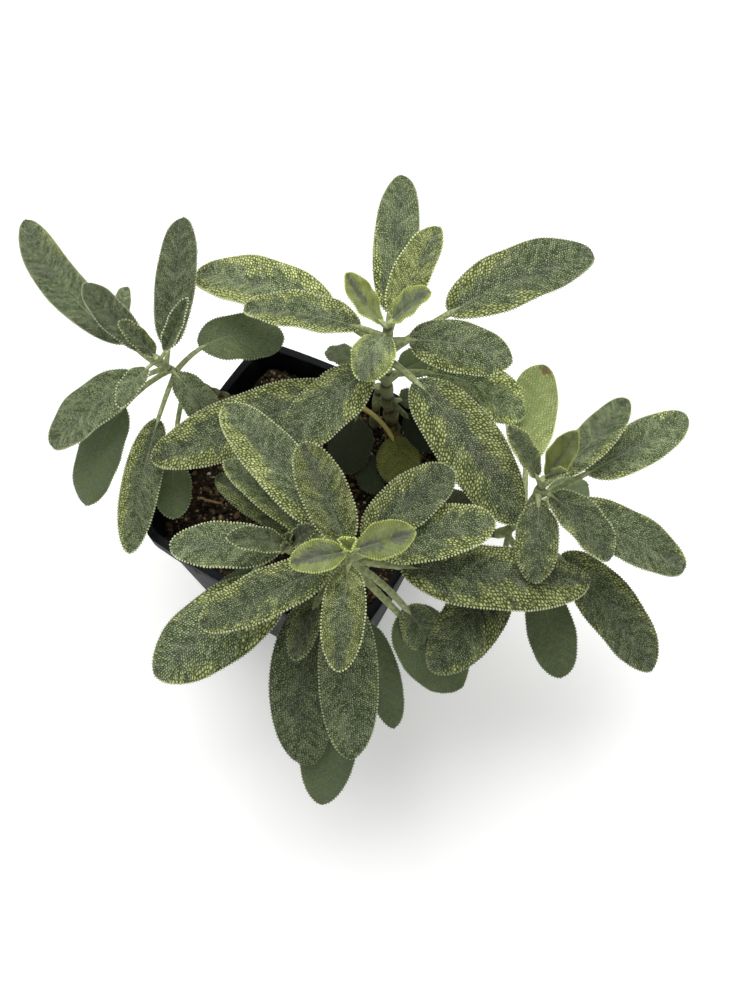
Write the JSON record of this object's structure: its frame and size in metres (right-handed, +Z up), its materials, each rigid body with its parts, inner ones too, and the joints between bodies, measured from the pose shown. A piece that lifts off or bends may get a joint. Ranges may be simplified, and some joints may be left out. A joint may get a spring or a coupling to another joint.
{
  "type": "potted sage",
  "caption": "Potted sage: leafy woody shoots with grey-green, yellow-edged leaves, rooted in potting mix in a square plastic nursery pot.",
  "frame": {"origin": "centre of the pot's flat underside", "axes": "+Z up; +X and +Y along the pot's sides"},
  "size_m": [0.3184, 0.2312, 0.1824],
  "materials": {
    "pot": "matte black plastic",
    "potting_mix": "dark coarse bark mix",
    "leaf_shoot_left": "felted pebbled leaf",
    "leaf_shoot_back": "felted pebbled leaf",
    "leaf_shoot_right": "felted pebbled leaf",
    "leaf_shoot_front": "felted pebbled leaf",
    "leaf_shoot_side": "felted pebbled leaf",
    "stem_stub": "smooth green stem, cut off at its top",
    "leaf_sprig_low": "smooth dull leaf"
  },
  "bodies": {
    "root": {"pot": "pot", "potting_mix": "potting_mix", "leaf_shoot_left": "leaf_shoot_left", "leaf_shoot_back": "leaf_shoot_back", "leaf_shoot_right": "leaf_shoot_right", "leaf_shoot_front": "leaf_shoot_front", "leaf_shoot_side": "leaf_shoot_side", "stem_stub": "stem_stub", "leaf_sprig_low": "leaf_sprig_low"}
  },
  "joints": []
}
